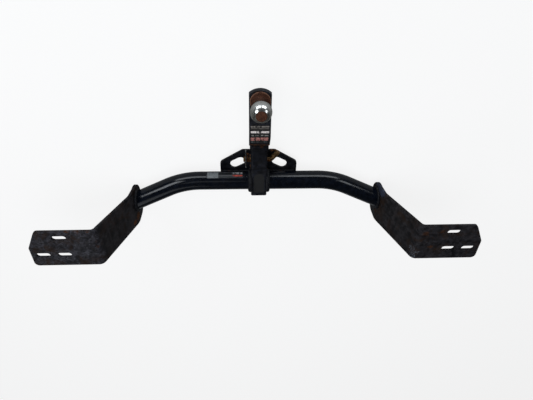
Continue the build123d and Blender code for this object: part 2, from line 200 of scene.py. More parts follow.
class HitchStage(bpy.types.PropertyGroup):
    """Floor, light and camera."""

    floor_colour: bpy.props.FloatVectorProperty(
        name="Floor", description="Colour of the floor",
        subtype="COLOR", size=4, default=(0.95, 0.95, 0.95, 1),
    )
    lamp_colour: bpy.props.FloatVectorProperty(
        name="Lamps", description="Colour of the soft lamps",
        subtype="COLOR", size=3, default=(0.9, 0.95, 1.0),
    )
    soft_power: bpy.props.FloatProperty(
        name="Soft light", description="Power of the wide light overhead", unit="POWER", default=22.0
    )
    strip_power: bpy.props.FloatProperty(
        name="Strip lamps", description="Power of each low strip lamp", unit="POWER", default=8.0
    )
    side_power: bpy.props.FloatProperty(
        name="Side lamps", description="Power of the larger side lamp", unit="POWER", default=5.0
    )
    top_power: bpy.props.FloatProperty(
        name="Top lamp", description="Power of the small lamp overhead", unit="POWER", default=0.6
    )
    fill_power: bpy.props.FloatProperty(
        name="Fill lamp", description="Power of the weak lamp in front", unit="POWER", default=5.0
    )
    focal_length: bpy.props.FloatProperty(
        name="Focal length", description="Focal length on a 36 mm sensor",
        subtype="DISTANCE_CAMERA", default=29.04,
    )


# Selecting and settling pieces


def only(*pieces):
    """Selects these pieces alone, the first one active."""
    bpy.ops.object.select_all(action="DESELECT")
    for piece in pieces:
        piece.select_set(True)
    bpy.context.view_layer.objects.active = pieces[0]


def apply_modifier(piece, kind, **settings):
    """Adds one modifier with these settings and applies it."""
    only(piece)
    modifier = piece.modifiers.new(kind.title(), kind)
    for name, value in settings.items():
        setattr(modifier, name, value)
    bpy.ops.object.modifier_apply(modifier=modifier.name)


def settle(piece, name, body, slot, *replaced):
    """Puts a finished piece's place into its mesh and gives it to its body."""
    only(piece)
    bpy.ops.object.transform_apply(location=True, rotation=True, scale=True)
    piece.name = piece.data.name = name
    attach(piece, body)
    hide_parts(*replaced)


def joined(pieces):
    """One piece from several."""
    only(*pieces)
    bpy.ops.object.join()
    return bpy.context.object


# Finishes


class Nodes:
    """Adds nodes to a tree and links them."""

    def __init__(self, tree):
        self.tree = tree

    def put(self, value, socket):
        """Links an output to the socket, or sets a plain value on it."""
        if isinstance(value, bpy.types.NodeSocket):
            self.tree.links.new(value, socket)
        else:
            socket.default_value = value

    def node(self, kind, output, inputs=(), **settings):
        """Adds a node with these inputs and settings, and gives one of its outputs."""
        node = self.tree.nodes.new(kind)
        for name, value in settings.items():
            setattr(node, name, value)
        for name, value in dict(inputs).items():
            self.put(value, node.inputs[name])
        return node.outputs[output]

    def mix(self, factor, a, b):
        """One colour going over to another as the factor goes to 1."""
        inputs = {MIX_FACTOR: factor, COLOUR_A: a, COLOUR_B: b}
        return self.node("ShaderNodeMix", COLOUR_RESULT, inputs, data_type="RGBA")


class Finish(Nodes):
    """The node tree of one finish. Each coat lies over what was there before it."""

    def __init__(self, name, dark, light, patch=90.0, roughness=(0.4, 0.6)):
        """Starts as patches of a dark and a light colour, at a scale, with roughness between two values."""
        self.material = bpy.data.materials.new(name)
        self.material.use_nodes = True
        super().__init__(self.material.node_tree)
        self.shader = self.tree.nodes["Principled BSDF"]
        self.place = self.node("ShaderNodeTexCoord", "Object")
        patches = self.band(self.noise(patch, 6, 0.7), 0.44, 0.62)
        self.colour = self.mix(patches, dark, light)
        self.roughness = self.band(self.noise(patch * 2.3, 3, 0.6), 0.3, 0.7, *roughness)
        self.metal = None
        self.height = None

    def noise(self, scale, detail=3.0, roughness=0.5, distortion=0.0, stretch=None):
        """Cloudy noise between 0 and 1, drawn out by axis where it is stretched."""
        place = self.place
        if stretch:
            place = self.node("ShaderNodeMapping", "Vector", {"Vector": place, "Scale": stretch})
        inputs = {"Scale": scale, "Detail": detail, "Roughness": roughness, "Distortion": distortion}
        return self.node("ShaderNodeTexNoise", "Fac", {"Vector": place, **inputs})

    def band(self, value, low, high, to_low=0.0, to_high=1.0):
        """Maps low..high to to_low..to_high, and holds the ends."""
        inputs = {"From Min": low, "From Max": high, "To Min": to_low, "To Max": to_high}
        return self.node("ShaderNodeMapRange", "Result", {"Value": value, **inputs})

    def vector(self, operation, output, *inputs):
        """Places or directions joined by an operation."""
        return self.node("ShaderNodeVectorMath", output, enumerate(inputs), operation=operation)

    def maths(self, operation, a, b):
        """Two numbers joined by an operation, held between 0 and 1."""
        return self.node("ShaderNodeMath", "Value", {0: a, 1: b}, operation=operation, use_clamp=True)

    def times(self, product, *masks):
        """The product of several masks."""
        for mask in masks:
            product = self.maths("MULTIPLY", product, mask)
        return product

    def mix_number(self, factor, a, b):
        """One number going over to another as the factor goes to 1."""
        inputs = {MIX_FACTOR: factor, NUMBER_A: a, NUMBER_B: b}
        return self.node("ShaderNodeMix", NUMBER_RESULT, inputs, data_type="FLOAT")

    def axis(self, name):
        """One coordinate of the surface's place, in metres."""
        return self.node("ShaderNodeSeparateXYZ", name, {"Vector": self.place})

    def within(self, name, low, high, soft=0.0006):
        """1 between two coordinates and 0 outside them."""
        value = self.axis(name)
        rise = self.band(value, low - soft, low + soft)
        fall = self.band(value, high - soft, high + soft, 1.0, 0.0)
        return self.times(rise, fall)

    def distance(self, point, place=None):
        """How far the surface, or another place on it, is from a point, in metres."""
        return self.vector("DISTANCE", "Value", self.place if place is None else place, point)

    def torn_place(self, reach=0.007, grain=130.0):
        """The surface's place, pushed about so that outlines on it come out torn."""
        push = self.node("ShaderNodeTexNoise", "Color", {"Vector": self.place, "Scale": grain, "Detail": 5.0})
        pushed = self.vector("MULTIPLY_ADD", "Vector", push, (2 * reach,) * 3, self.place)
        return self.vector("SUBTRACT", "Vector", pushed, (reach,) * 3)

    def blobs(self, places, grain=420.0):
        """Torn spots, each given by its x, y, z and radius in metres."""
        total = 0.0
        torn = self.torn_place()
        for x, y, z, radius in places:
            spot = self.band(self.distance((x, y, z), torn), radius * 0.2, radius, 1.0, 0.0)
            total = self.maths("MAXIMUM", total, spot)
        ragged = self.maths("SUBTRACT", total, self.band(self.noise(grain, 5, 0.7), 0.34, 0.66, 0.1, 0.9))
        return self.band(ragged, 0.0, 0.1)

    def edges(self):
        """1 near a sharp edge of the metal and 0 on flat or gently curved metal."""
        bevel = self.node("ShaderNodeBevel", "Normal", {"Radius": EDGE_REACH}, samples=6)
        flat = self.node("ShaderNodeNewGeometry", "Normal")
        return self.band(self.vector("DOT_PRODUCT", "Value", bevel, flat), 0.9, 0.985, 1.0, 0.0)

    def coat(self, mask, colour, roughness=None, metal=None, height=0.0):
        """Lays a coat over the surface where the mask is 1."""
        self.colour = self.mix(mask, self.colour, colour)
        if roughness is not None:
            self.roughness = self.mix_number(mask, self.roughness, roughness)
        if metal is not None:
            self.metal = self.mix_number(mask, 0.0 if self.metal is None else self.metal, metal)
        if height:
            self.raise_by(mask, height)

    def raise_by(self, mask, height):
        """Adds relief: the mask's 1 stands this many metres above its 0."""
        inputs = {0: mask, 1: height, 2: 0.0 if self.height is None else self.height}
        self.height = self.node("ShaderNodeMath", "Value", inputs, operation="MULTIPLY_ADD")

    def done(self, specular=0.5):
        """Links what was laid to the shader and gives the material."""
        self.put(self.colour, self.shader.inputs["Base Color"])
        self.put(self.roughness, self.shader.inputs["Roughness"])
        if self.metal is not None:
            self.put(self.metal, self.shader.inputs["Metallic"])
        if self.height is not None:
            bump = self.node("ShaderNodeBump", "Normal", {"Distance": 1.0, "Height": self.height})
            self.put(bump, self.shader.inputs["Normal"])
        self.shader.inputs["Specular IOR Level"].default_value = specular
        return self.material


def shade(colour, factor):
    """A colour made lighter or darker."""
    return tuple(c * factor for c in colour[:3]) + (1,)


def rust_over(finish, mask, fresh=1.0):
    """Rust, brown where it is thin and orange in the middle, rough and slightly raised."""
    paint = bpy.context.scene.hitch_paint
    grains = finish.band(finish.noise(700.0, 4, 0.7), 0.38, 0.66)
    middle = finish.times(grains, finish.band(mask, 0.45, 1.0))
    tones = finish.mix(middle, tuple(paint.rust_colour), shade(paint.fresh_rust_colour, fresh))
    finish.coat(mask, tones, 0.85, height=RUST_RELIEF)


def black_paint(
    name, colour, roughness, spots=(), edge=0.7, dust=0.3, specks=0.66, scuffs=(1, 1, 12), lift=4.2,
    peel=0.00003, fresh=1.0,
):
    """Black paint with an uneven film of dust, scuffs, bare edges and spots of rust.

    Roughness is its lowest and highest value, spots are places of rust, edge is how bare the edges are
    and dust how thick the film is. More specks show the lower their number is. Scuffs draws their lines
    out by axis, lift is how much lighter the patches are, peel is the relief in metres, and fresh is how
    bright the rust is.
    """
    finish = Finish(name, colour, shade(colour, lift), 85.0, roughness)
    finish.raise_by(finish.noise(1500.0, 2, 0.5), peel)
    film = finish.band(finish.noise(34.0, 6, 0.66, 1.4), 0.46, 0.72)
    finish.coat(finish.times(film, dust), DUST, 0.72)
    lines = finish.band(finish.noise(190.0, 4, 0.7, 0.0, scuffs), 0.63, 0.73)
    finish.coat(finish.times(lines, 0.6), SCUFF, 0.55)
    chips = finish.band(finish.noise(260.0, 4, 0.65), 0.36, 0.6)
    finish.coat(finish.times(finish.edges(), chips, edge), BARE_EDGE, 0.5)
    rust_over(finish, finish.band(finish.noise(130.0, 6, 0.72), specks, specks + 0.05), fresh)
    if spots:
        rust_over(finish, finish.blobs(spots), fresh)
    return finish


# Weld beads


def ripple(radius, place, squash):
    """One drop of weld metal, flattened along the way the bead runs."""
    bpy.ops.object.select_all(action="DESELECT")
    bpy.ops.mesh.primitive_uv_sphere_add(segments=16, ring_count=10, radius=radius, location=place)
    piece = bpy.context.object
    bpy.ops.object.mode_set(mode="EDIT")
    bpy.ops.mesh.select_all(action="SELECT")
    bpy.ops.transform.resize(value=squash, center_override=place)
    return piece


def fuse(piece, grain):
    """Melts overlapping drops into one uneven bead."""
    bpy.ops.object.mode_set(mode="OBJECT")
    apply_modifier(piece, "REMESH", mode="VOXEL", voxel_size=grain)
    apply_modifier(piece, "SMOOTH", factor=0.5, iterations=3)
    uneven = bpy.data.textures.new("Uneven weld", "CLOUDS")
    uneven.noise_scale = 0.006
    apply_modifier(piece, "DISPLACE", texture=uneven, texture_coords="GLOBAL", strength=0.0007, mid_level=0.5)
    bpy.ops.object.shade_smooth()


def ring_bead(centre, ring_radius, radius, grain, stretch=1.0):
    """A bead round a tube end. The ring faces along X, and stretch lengthens it along Y."""
    count = round(2 * math.pi * ring_radius / (radius * DROP_SPACING))
    top = Vector(centre) + Vector((0, 0, ring_radius))
    piece = ripple(radius, top, (1, 1 - DROP_FLATTENING, 1))
    step = 2 * math.pi / count
    bpy.ops.mesh.spin(steps=count - 1, dupli=True, angle=step * (count - 1), center=centre, axis=(1, 0, 0))
    bpy.ops.mesh.select_all(action="SELECT")
    bpy.ops.transform.resize(value=(1, stretch, 1), center_override=centre)
    fuse(piece, grain)
    return piece


def straight_bead(start, end, radius, grain, squash=(1, 1, 1)):
    """A bead from one point to another."""
    run = Vector(end) - Vector(start)
    count = max(2, round(run.length / (radius * DROP_SPACING)))
    along = [1 - DROP_FLATTENING * abs(c) for c in run.normalized()]
    piece = ripple(radius, start, tuple(a * s for a, s in zip(along, squash)))
    bpy.ops.object.mode_set(mode="OBJECT")
    apply_modifier(
        piece, "ARRAY", count=count, use_relative_offset=False, use_constant_offset=True,
        constant_offset_displace=run / (count - 1),
    )
    fuse(piece, grain)
    return piece


def weld_paint(name, rust):
    """Painted weld metal with patches of rust, more of them as rust goes from 0 to 1."""
    paint = bpy.context.scene.hitch_paint
    finish = Finish(name, tuple(paint.receiver_colour), (0.012, 0.012, 0.0145, 1), 160.0, (0.36, 0.6))
    finish.raise_by(finish.noise(900.0, 3, 0.6), 0.00006)
    rust_over(finish, finish.band(finish.noise(95.0, 5, 0.7), 0.72 - 0.3 * rust, 0.8 - 0.3 * rust))
    return finish


class HITCH_OT_bracket_welds(bpy.types.Operator):
    """Weld beads round the crossbar's ends, on the brackets"""

    bl_idname = "hitch.bracket_welds"
    bl_label = "Bracket welds"

    def execute(self, context):
        welds = context.scene.hitch_welds
        radius = welds.bracket_ripple
        inset = radius * BEAD_SINK
        for side_name, side in SIDES.items():
            centre = (side * (foot_x - inset), foot_y - inset * math.tan(tube_slant), tube_z)
            piece = ring_bead(centre, tube_radius + inset, radius, welds.grain, 1 / math.cos(tube_slant))
            finish = weld_paint(f"Painted weld, {side_name} bracket", 0.25)
            piece.data.materials.append(finish.done(0.25))
            settle(piece, f"bracket_bead_{side_name}", "hitch", "painted_weld", f"bracket_weld_{side_name}")
        return {"FINISHED"}


class HITCH_OT_receiver_welds(bpy.types.Operator):
    """Weld beads round the crossbar where it meets the receiver"""

    bl_idname = "hitch.receiver_welds"
    bl_label = "Receiver welds"

    def execute(self, context):
        welds = context.scene.hitch_welds
        radius = welds.receiver_ripple
        inset = radius * BEAD_SINK
        for side_name, side in SIDES.items():
            centre = (side * (receiver_half + inset), tube_y, tube_z)
            piece = ring_bead(centre, tube_radius + inset, radius, welds.grain)
            finish = weld_paint(f"Painted weld, {side_name} of the receiver", 0.3)
            piece.data.materials.append(finish.done(0.25))
            settle(piece, f"receiver_bead_{side_name}", "hitch", "painted_weld", f"receiver_weld_{side_name}")
        return {"FINISHED"}


class HITCH_OT_plate_welds(bpy.types.Operator):
    """Weld beads that hold the chain plate to the receiver and to the crossbar"""

    bl_idname = "hitch.plate_welds"
    bl_label = "Chain plate welds"

    def along_receiver(self, welds):
        """A bead on each side of the receiver, rusty all over."""
        rear_y, front_y = plate_low.y + 0.013, tube_y - 0.016
        z = plate_high.z + 0.0022
        taller = (1, 1, 1.25)
        rusty = weld_paint("Rusty weld, chain plate", 0.75).done()
        for side_name, side in SIDES.items():
            x = side * (receiver_half - 0.0006)
            piece = straight_bead((x, rear_y, z), (x, front_y, z), welds.plate_ripple, welds.grain, taller)
            piece.data.materials.append(rusty)
            name, replaced = f"chain_plate_bead_{side_name}", f"chain_plate_weld_{side_name}"
            settle(piece, name, "hitch", "rusty_weld", replaced)

    def along_crossbar(self, welds):
        """A bead on each side of the receiver, from beside it out along the crossbar, as one piece."""
        inner_x, outer_x = receiver_half + 0.0075, 0.0945
        y, z = tube_y - 0.0183, plate_high.z + 0.0034
        radius = welds.plate_ripple * 1.12
        beads = [
            straight_bead((side * inner_x, y, z), (side * outer_x, y, z), radius, welds.grain)
            for side in SIDES.values()
        ]
        piece = joined(beads)
        piece.data.materials.append(weld_paint("Painted weld, crossbar", 0.45).done(0.12))
        settle(piece, "crossbar_bead", "hitch", "painted_weld", "crossbar_weld")

    def execute(self, context):
        welds = context.scene.hitch_welds
        self.along_receiver(welds)
        self.along_crossbar(welds)
        return {"FINISHED"}


class HITCH_OT_tongue_weld(bpy.types.Operator):
    """Weld beads under the tongue, beside and behind the shank"""

    bl_idname = "hitch.tongue_weld"
    bl_label = "Tongue weld"

    def execute(self, context):
        welds = context.scene.hitch_welds
        radius = welds.tongue_ripple
        seat = shank_high.z
        out = 0.0006  # the middle of the rear bead, behind and above the shank
        beads = []
        for side in SIDES.values():
            x = side * (shank_high.x + 0.0008)
            front = (x, tongue_high.y - 0.003, seat - 0.0012)
            rear = (x, shank_low.y + 0.0035, seat - 0.0006)
            beads.append(straight_bead(front, rear, radius, welds.grain))
        across = shank_high.x - 0.001
        y, z = shank_low.y - out, seat + out
        beads.append(straight_bead((-across, y, z), (across, y, z), radius * 1.2, welds.grain))
        piece = joined(beads)
        piece.data.materials.append(weld_paint("Rusty weld, tongue", 0.7).done())
        settle(piece, "tongue_bead", "ball_mount", "rusty_weld", "tongue_weld")
        return {"FINISHED"}


# The ball


def ring_out(centre_y, radius_from, z_from, stations):
    """Extrudes the selected ring through stations of radius and height."""
    for radius, z in stations:
        bpy.ops.mesh.extrude_region_move(TRANSFORM_OT_translate={"value": (0, 0, z - z_from)})
        factor = radius / radius_from
        bpy.ops.transform.resize(value=(factor, factor, 1), center_override=(0, centre_y, z))
        radius_from, z_from = radius, z


def rusty_steel(name, streaks=(1, 1, 1)):
    """Brown rusted steel with lighter streaks and pale flakes."""
    finish = Finish(name, (0.03, 0.011, 0.0065, 1), (0.105, 0.037, 0.019, 1), 330.0, (0.7, 0.95))
    flakes = finish.noise(1100.0, 5, 0.7, 0.4, streaks)
    finish.raise_by(flakes, 0.0003)
    streaked = finish.band(finish.noise(210.0, 5, 0.7, 0.8, streaks), 0.54, 0.72)
    finish.coat(streaked, (0.115, 0.045, 0.025, 1), 0.9)
    finish.coat(finish.band(flakes, 0.58, 0.7), (0.16, 0.072, 0.042, 1), 0.85)
    return finish


class HITCH_OT_ball(bpy.types.Operator):
    """Turned chrome ball with its flat, neck, collar and threaded stud"""

    bl_idname = "hitch.ball"
    bl_label = "Hitch ball"

    @staticmethod
    def turned(sizes, middle_z, neck_z, collar_top):
        """The ball, its neck, its collar and the stud down to the root of its thread."""
        flat_z, seat, end = ball_high.z, tongue_high.z, ball_low.z
        bpy.ops.object.select_all(action="DESELECT")
        bpy.ops.mesh.primitive_uv_sphere_add(
            segments=96, ring_count=64, radius=ball_radius, location=(0, ball_y, middle_z)
        )
        piece = bpy.context.object
        bpy.ops.object.mode_set(mode="EDIT")
        bpy.ops.mesh.select_all(action="SELECT")
        bpy.ops.mesh.bisect(plane_co=(0, ball_y, flat_z), plane_no=(0, 0, 1), use_fill=True, clear_outer=True)
        bpy.ops.mesh.bevel(offset=0.0005, segments=2)
        bpy.ops.mesh.select_all(action="SELECT")
        bpy.ops.mesh.bisect(plane_co=(0, ball_y, neck_z), plane_no=(0, 0, 1), clear_inner=True)
        fillet = 0.006  # neck to collar
        rim = 0.0012  # rounding of the collar's upper edge
        lower_edge = 0.0004
        root = sizes.stud_radius - THREAD_DEPTH * sizes.thread_pitch
        stations = [
            (sizes.neck_radius + fillet * (1 - math.cos(a)), collar_top + fillet * (1 - math.sin(a)))
            for a in (math.radians(degrees) for degrees in range(0, 91, 15))
        ]
        stations += [
            (sizes.collar_radius - rim, collar_top),
            (sizes.collar_radius - 0.35 * rim, collar_top - 0.2 * rim),
            (sizes.collar_radius, collar_top - rim),
            (sizes.collar_radius, seat + lower_edge),
            (sizes.collar_radius - lower_edge, seat),
            (sizes.stud_radius, seat),
            (sizes.stud_radius, washer_low.z),
            (root, washer_low.z),
            (root, end + 0.0006),
            (root - 0.0012, end),
        ]
        ring_out(ball_y, sizes.neck_radius, neck_z, stations)
        bpy.ops.mesh.edge_face_add()
        bpy.ops.object.mode_set(mode="OBJECT")
        return piece

    @staticmethod
    def thread(sizes):
        """The stud's thread: a three-sided ridge wound up from the stud's end."""
        start = (0, ball_y, ball_low.z + 0.0008)
        turns = int((washer_low.z - ball_low.z) / sizes.thread_pitch)
        bpy.ops.object.select_all(action="DESELECT")
        bpy.ops.mesh.primitive_circle_add(
            vertices=3, radius=sizes.thread_pitch * THREAD_RIDGE, fill_type="NOTHING", location=start,
            rotation=(math.pi / 2, 0, 0),
        )
        thread = bpy.context.object
        bpy.ops.object.transform_apply(location=False, rotation=True, scale=True)
        bpy.ops.object.mode_set(mode="EDIT")
        bpy.ops.mesh.select_all(action="SELECT")
        bpy.ops.transform.rotate(value=math.pi / 2, orient_axis="Y", center_override=start)
        bpy.ops.object.mode_set(mode="OBJECT")
        reach = max(abs(v.co.x) for v in thread.data.vertices)
        outwards = 1 if max(v.co.x for v in thread.data.vertices) > 0.9 * reach else -1
        bpy.ops.object.mode_set(mode="EDIT")
        bpy.ops.transform.translate(value=(outwards * (sizes.stud_radius - reach), 0, 0))
        bpy.ops.object.mode_set(mode="OBJECT")
        apply_modifier(
            thread, "SCREW", axis="Z", angle=2 * math.pi, screw_offset=sizes.thread_pitch,
            iterations=turns - 1, steps=48, render_steps=48, use_merge_vertices=True,
        )
        bpy.ops.object.mode_set(mode="EDIT")
        bpy.ops.mesh.select_all(action="DESELECT")
        bpy.ops.mesh.select_non_manifold()
        bpy.ops.mesh.fill_holes(sides=3)
        bpy.ops.mesh.select_all(action="SELECT")
        bpy.ops.mesh.normals_make_consistent(inside=False)
        bpy.ops.object.mode_set(mode="OBJECT")
        return thread

    @staticmethod
    def chrome():
        """Old chrome: bright where a coupler rubs it, behind and above, and dull and pitted elsewhere."""
        paint = bpy.context.scene.hitch_paint
        finish = Finish("Pitted chrome", (0.3, 0.293, 0.258, 1), (0.56, 0.55, 0.49, 1), 160.0, (0.24, 0.4))
        finish.metal = finish.band(finish.noise(60.0, 2), 0.0, 1.0, 0.94, 1.0)
        middle = ball_high.z - ball_radius * 0.98
        rubbed = (0, ball_y - 0.74 * ball_radius, middle + 0.67 * ball_radius)
        bright = finish.band(finish.distance(rubbed, finish.torn_place(0.0016, 90.0)), 0.015, 0.025, 1.0, 0.0)
        finish.coat(bright, tuple(paint.chrome_colour), 0.22, 1.0)
        cloud = finish.band(finish.noise(130.0, 5, 0.65, 0.8), 0.52, 0.72)
        finish.coat(finish.times(cloud, 0.55), (0.24, 0.23, 0.2, 1), 0.35)
        inputs = {"Vector": finish.place, "Scale": 150.0, "Randomness": 1.0}
        from_pit = finish.node("ShaderNodeTexVoronoi", "Distance", inputs, feature="F1")
        size = finish.band(finish.noise(110.0, 3, 0.6), 0.44, 0.7, 0.0, 0.3)
        pits = finish.node("ShaderNodeMath", "Value", {0: from_pit, 1: size}, operation="LESS_THAN")
        finish.coat(pits, (0.05, 0.036, 0.026, 1), 0.8, 0.15, height=-0.00025)
        return finish.done()

    @staticmethod
    def rusty_collar(sizes, collar_top):
        """Rusty steel of collar and stud, rubbed on the collar's rim."""
        finish = rusty_steel("Rusty collar and stud", (1, 3.5, 1))
        rim = finish.within("Z", collar_top - 0.0009, collar_top + 0.0002, 0.0003)
        from_middle = finish.distance((0, ball_y, collar_top))
        outer = finish.band(from_middle, sizes.collar_radius - 0.0017, sizes.collar_radius - 0.0011)
        rubbed = finish.band(finish.noise(150.0, 4, 0.6), 0.3, 0.5)
        finish.coat(finish.times(rim, outer, rubbed), (0.27, 0.14, 0.09, 1), 0.5, 0.4)
        return finish.done(0.3)

    def execute(self, context):
        sizes = context.scene.hitch_ball
        flat_z = ball_high.z
        middle_z = flat_z - math.sqrt(ball_radius**2 - sizes.flat_radius**2)
        neck_z = middle_z - math.sqrt(ball_radius**2 - sizes.neck_radius**2)
        collar_top = tongue_high.z + sizes.collar_height
        piece = joined([self.turned(sizes, middle_z, neck_z, collar_top), self.thread(sizes)])
        piece.data.materials.append(self.chrome())
        piece.data.materials.append(self.rusty_collar(sizes, collar_top))
        piece.data.materials.append(rusty_steel("Rusty flat of the ball").done(0.3))
        for face in piece.data.polygons:
            z = face.center.z + piece.location.z
            if z < neck_z - 0.0004:
                face.material_index = 1
            elif z > flat_z - 0.0007:
                face.material_index = 2
        only(piece)
        bpy.ops.object.shade_smooth_by_angle(angle=math.radians(35))
        settle(piece, "turned_ball", "ball_mount", "pitted_chrome", "hitch_ball")
        return {"FINISHED"}


# Paint and plating on the pieces that the frame gives


def dress(material, *names, slot):
    """Gives one finish to CAD nodes."""
    for name in names:
        nodes[name].data.materials.clear()
        nodes[name].data.materials.append(material)


class HITCH_OT_crossbar_paint(bpy.types.Operator):
    """Gloss black paint on the two halves of the crossbar"""

    bl_idname = "hitch.crossbar_paint"
    bl_label = "Crossbar paint"

    def execute(self, context):
        colour = tuple(context.scene.hitch_paint.tube_colour)
        by_receiver = [(-0.0228, -0.083, -0.168, 0.006), (0.0232, -0.084, -0.168, 0.005)]
        spots = [*by_receiver, (0.322, 0.012, -0.199, 0.008)]
        finish = black_paint(
            "Gloss black paint", colour, (0.1, 0.2), spots, edge=0.3, dust=0.08, specks=0.72,
            scuffs=(9, 1, 1), lift=2.6, peel=0.000006,
        )
        dress(finish.done(0.45), "crossbar_right", "crossbar_left", slot="gloss_black_paint")
        return {"FINISHED"}


class HITCH_OT_receiver_paint(bpy.types.Operator):
    """Satin black paint on the receiver, with painted shade towards the mouth and a matte patch on top"""

    bl_idname = "hitch.receiver_paint"
    bl_label = "Receiver paint"

    @staticmethod
    def patch(finish):
        """A strip along the receiver's top with a round end."""
        end_y, front_y = -0.083, -0.036
        strip = finish.within("X", -0.0138, 0.0134, 0.0012)
        arc = finish.band(finish.distance((-0.0002, end_y, receiver_high.z)), 0.0128, 0.0144, 1.0, 0.0)
        straight = finish.within("Y", end_y, front_y, 0.0004)
        upper = finish.band(finish.axis("Z"), receiver_high.z - 0.0012, receiver_high.z - 0.0006)
        return finish.times(finish.maths("MAXIMUM", arc, finish.times(strip, straight)), upper)

    def execute(self, context):
        colour = tuple(context.scene.hitch_paint.receiver_colour)
        spots = [
            (0.0206, -0.128, -0.166, 0.009), (0.0206, -0.138, -0.184, 0.008), (-0.0206, -0.13, -0.168, 0.011),
            (-0.0206, -0.146, -0.18, 0.009), (-0.0206, -0.112, -0.186, 0.007), (0.012, -0.181, -0.1565, 0.006),
            (-0.006, -0.181, -0.1565, 0.007),
        ]
        finish = black_paint(
            "Satin black paint, receiver", colour, (0.3, 0.52), spots, edge=0.8, specks=0.69,
            scuffs=(1, 1, 10), lift=4.8,
        )
        # Painted shade: a darker coat that deepens towards the receiver's mouth
        mouth = finish.band(finish.axis("Y"), -0.14, -0.115, 0.65, 0.0)
        finish.coat(mouth, (0.003, 0.003, 0.004, 1))
        finish.coat(self.patch(finish), (0.019, 0.0185, 0.0185, 1), 0.62, height=0.0001)
        dress(finish.done(0.22), "receiver_tube", "mouth_collar", slot="satin_black_paint")
        return {"FINISHED"}


class HITCH_OT_chain_plate_paint(bpy.types.Operator):
    """Satin black paint on the chain plate, rusty by the slots"""

    bl_idname = "hitch.chain_plate_paint"
    bl_label = "Chain plate paint"

    def execute(self, context):
        colour = tuple(context.scene.hitch_paint.receiver_colour)
        spots = [
            (-0.047, -0.1425, -0.1985, 0.011), (-0.034, -0.143, -0.199, 0.008), (-0.06, -0.135, -0.199, 0.007),
            (-0.04, -0.117, -0.198, 0.008), (0.0317, -0.1218, -0.1977, 0.008), (0.027, -0.131, -0.1977, 0.006),
        ]
        finish = black_paint(
            "Satin black paint, chain plate", shade(colour, 0.55), (0.34, 0.56), spots, dust=0.18,
            specks=0.7, lift=3.4,
        )
        dress(finish.done(0.22), "safety_chain_plate", slot="satin_black_paint")
        return {"FINISHED"}


class HITCH_OT_bracket_paint(bpy.types.Operator):
    """Worn black paint on the end brackets, with dust, pale specks and rust, and painted sheen on the flanges
    and on one ear
    """

    bl_idname = "hitch.bracket_paint"
    bl_label = "Bracket paint"

    # Places of spots, with their radius, in metres
    rust = {
        "right": [
            (0.4294, -0.049, -0.001, 0.012), (0.4056, -0.049, -0.002, 0.008), (0.452, -0.049, -0.001, 0.009),
            (0.391, 0.004, 0.0, 0.01), (0.39, -0.012, -0.002, 0.007), (0.37, -0.048, -0.067, 0.009),
        ],
        "left": [
            (-0.405, -0.0233, 0.0, 0.013), (-0.4271, 0.0222, 0.0, 0.01), (-0.3833, -0.049, -0.002, 0.008),
            (-0.445, -0.03, 0.0, 0.009), (-0.331, 0.04, -0.165, 0.012),
        ],
    }
    pale_corner = [(-0.3845, 0.035, -0.01, 0.015), (-0.3954, 0.0394, 0.0, 0.012), (-0.39, 0.05, -0.004, 0.015)]
    rusty_foot = [(0.33, 0.036, -0.19, 0.016), (0.33, 0.044, -0.163, 0.02), (0.333, 0.05, -0.14, 0.014)]
    # Painted sheen: places of a bluish coat on the left bracket's ear, where its bend would mirror light
    painted_ear_sheen = [(-0.33, -0.034, -0.15, 0.02), (-0.33, -0.035, -0.17, 0.02), (-0.33, -0.036, -0.192, 0.018)]
    # Strength on each flange of the bluish coat, which is partly dust and partly painted sheen
    flange_dust_and_sheen = {"right": 0.85, "left": 0.2}
    knee = (-0.02, -0.006)  # heights between which web goes over to flange

    def execute(self, context):
        colour = tuple(context.scene.hitch_paint.bracket_colour)
        for side_name, places in self.rust.items():
            finish = black_paint(
                f"Worn black paint, {side_name} bracket", colour, (0.45, 0.68), places, dust=0.45,
                scuffs=(1, 6, 1), fresh=0.34,
            )
            height = finish.axis("Z")
            flange = finish.band(height, *self.knee)
            web = finish.band(height, *self.knee, 1.0, 0.0)
            # Swirls of dust on the flange that also stand for painted sheen: the bluish grey lightens the
            # flange's top, the right bracket's most
            swirls = finish.band(finish.noise(60.0, 8, 0.76, 3.2), 0.44, 0.58)
            dust_and_sheen = finish.times(swirls, flange, self.flange_dust_and_sheen[side_name])
            finish.coat(dust_and_sheen, (0.064, 0.062, 0.074, 1), 0.6)
            clouds = finish.band(finish.noise(30.0, 5, 0.62, 1.4, (1, 1, 0.4)), 0.48, 0.62, 0.0, 0.75)
            finish.coat(clouds, (0.0035, 0.0034, 0.0042, 1), 0.5)
            tint = finish.band(finish.noise(24.0, 6, 0.7, 1.0), 0.5, 0.66, 0.0, 0.75)
            finish.coat(tint, (0.026, 0.0145, 0.009, 1), 0.75)
            smoke = finish.band(finish.noise(46.0, 4, 0.6, 0.7, (1, 0.14, 1)), 0.46, 0.64, 0.0, 0.6)
            finish.coat(finish.times(smoke, web), (0.034, 0.029, 0.031, 1), 0.66)
            fine = finish.band(finish.noise(760.0, 3, 0.7), 0.57, 0.62)
            finish.coat(finish.times(finish.blobs(self.pale_corner, 520.0), fine), (0.3, 0.34, 0.41, 1), 0.5)
            rust_over(finish, finish.blobs(self.rusty_foot), 0.8)
            # Painted sheen: a bluish coat on the left ear in place of light mirrored by its bend
            finish.coat(finish.times(finish.blobs(self.painted_ear_sheen, 260.0), 0.8), (0.04, 0.048, 0.078, 1), 0.5)
            dress(finish.done(0.12), f"end_bracket_{side_name}", slot="worn_black_paint")
        return {"FINISHED"}


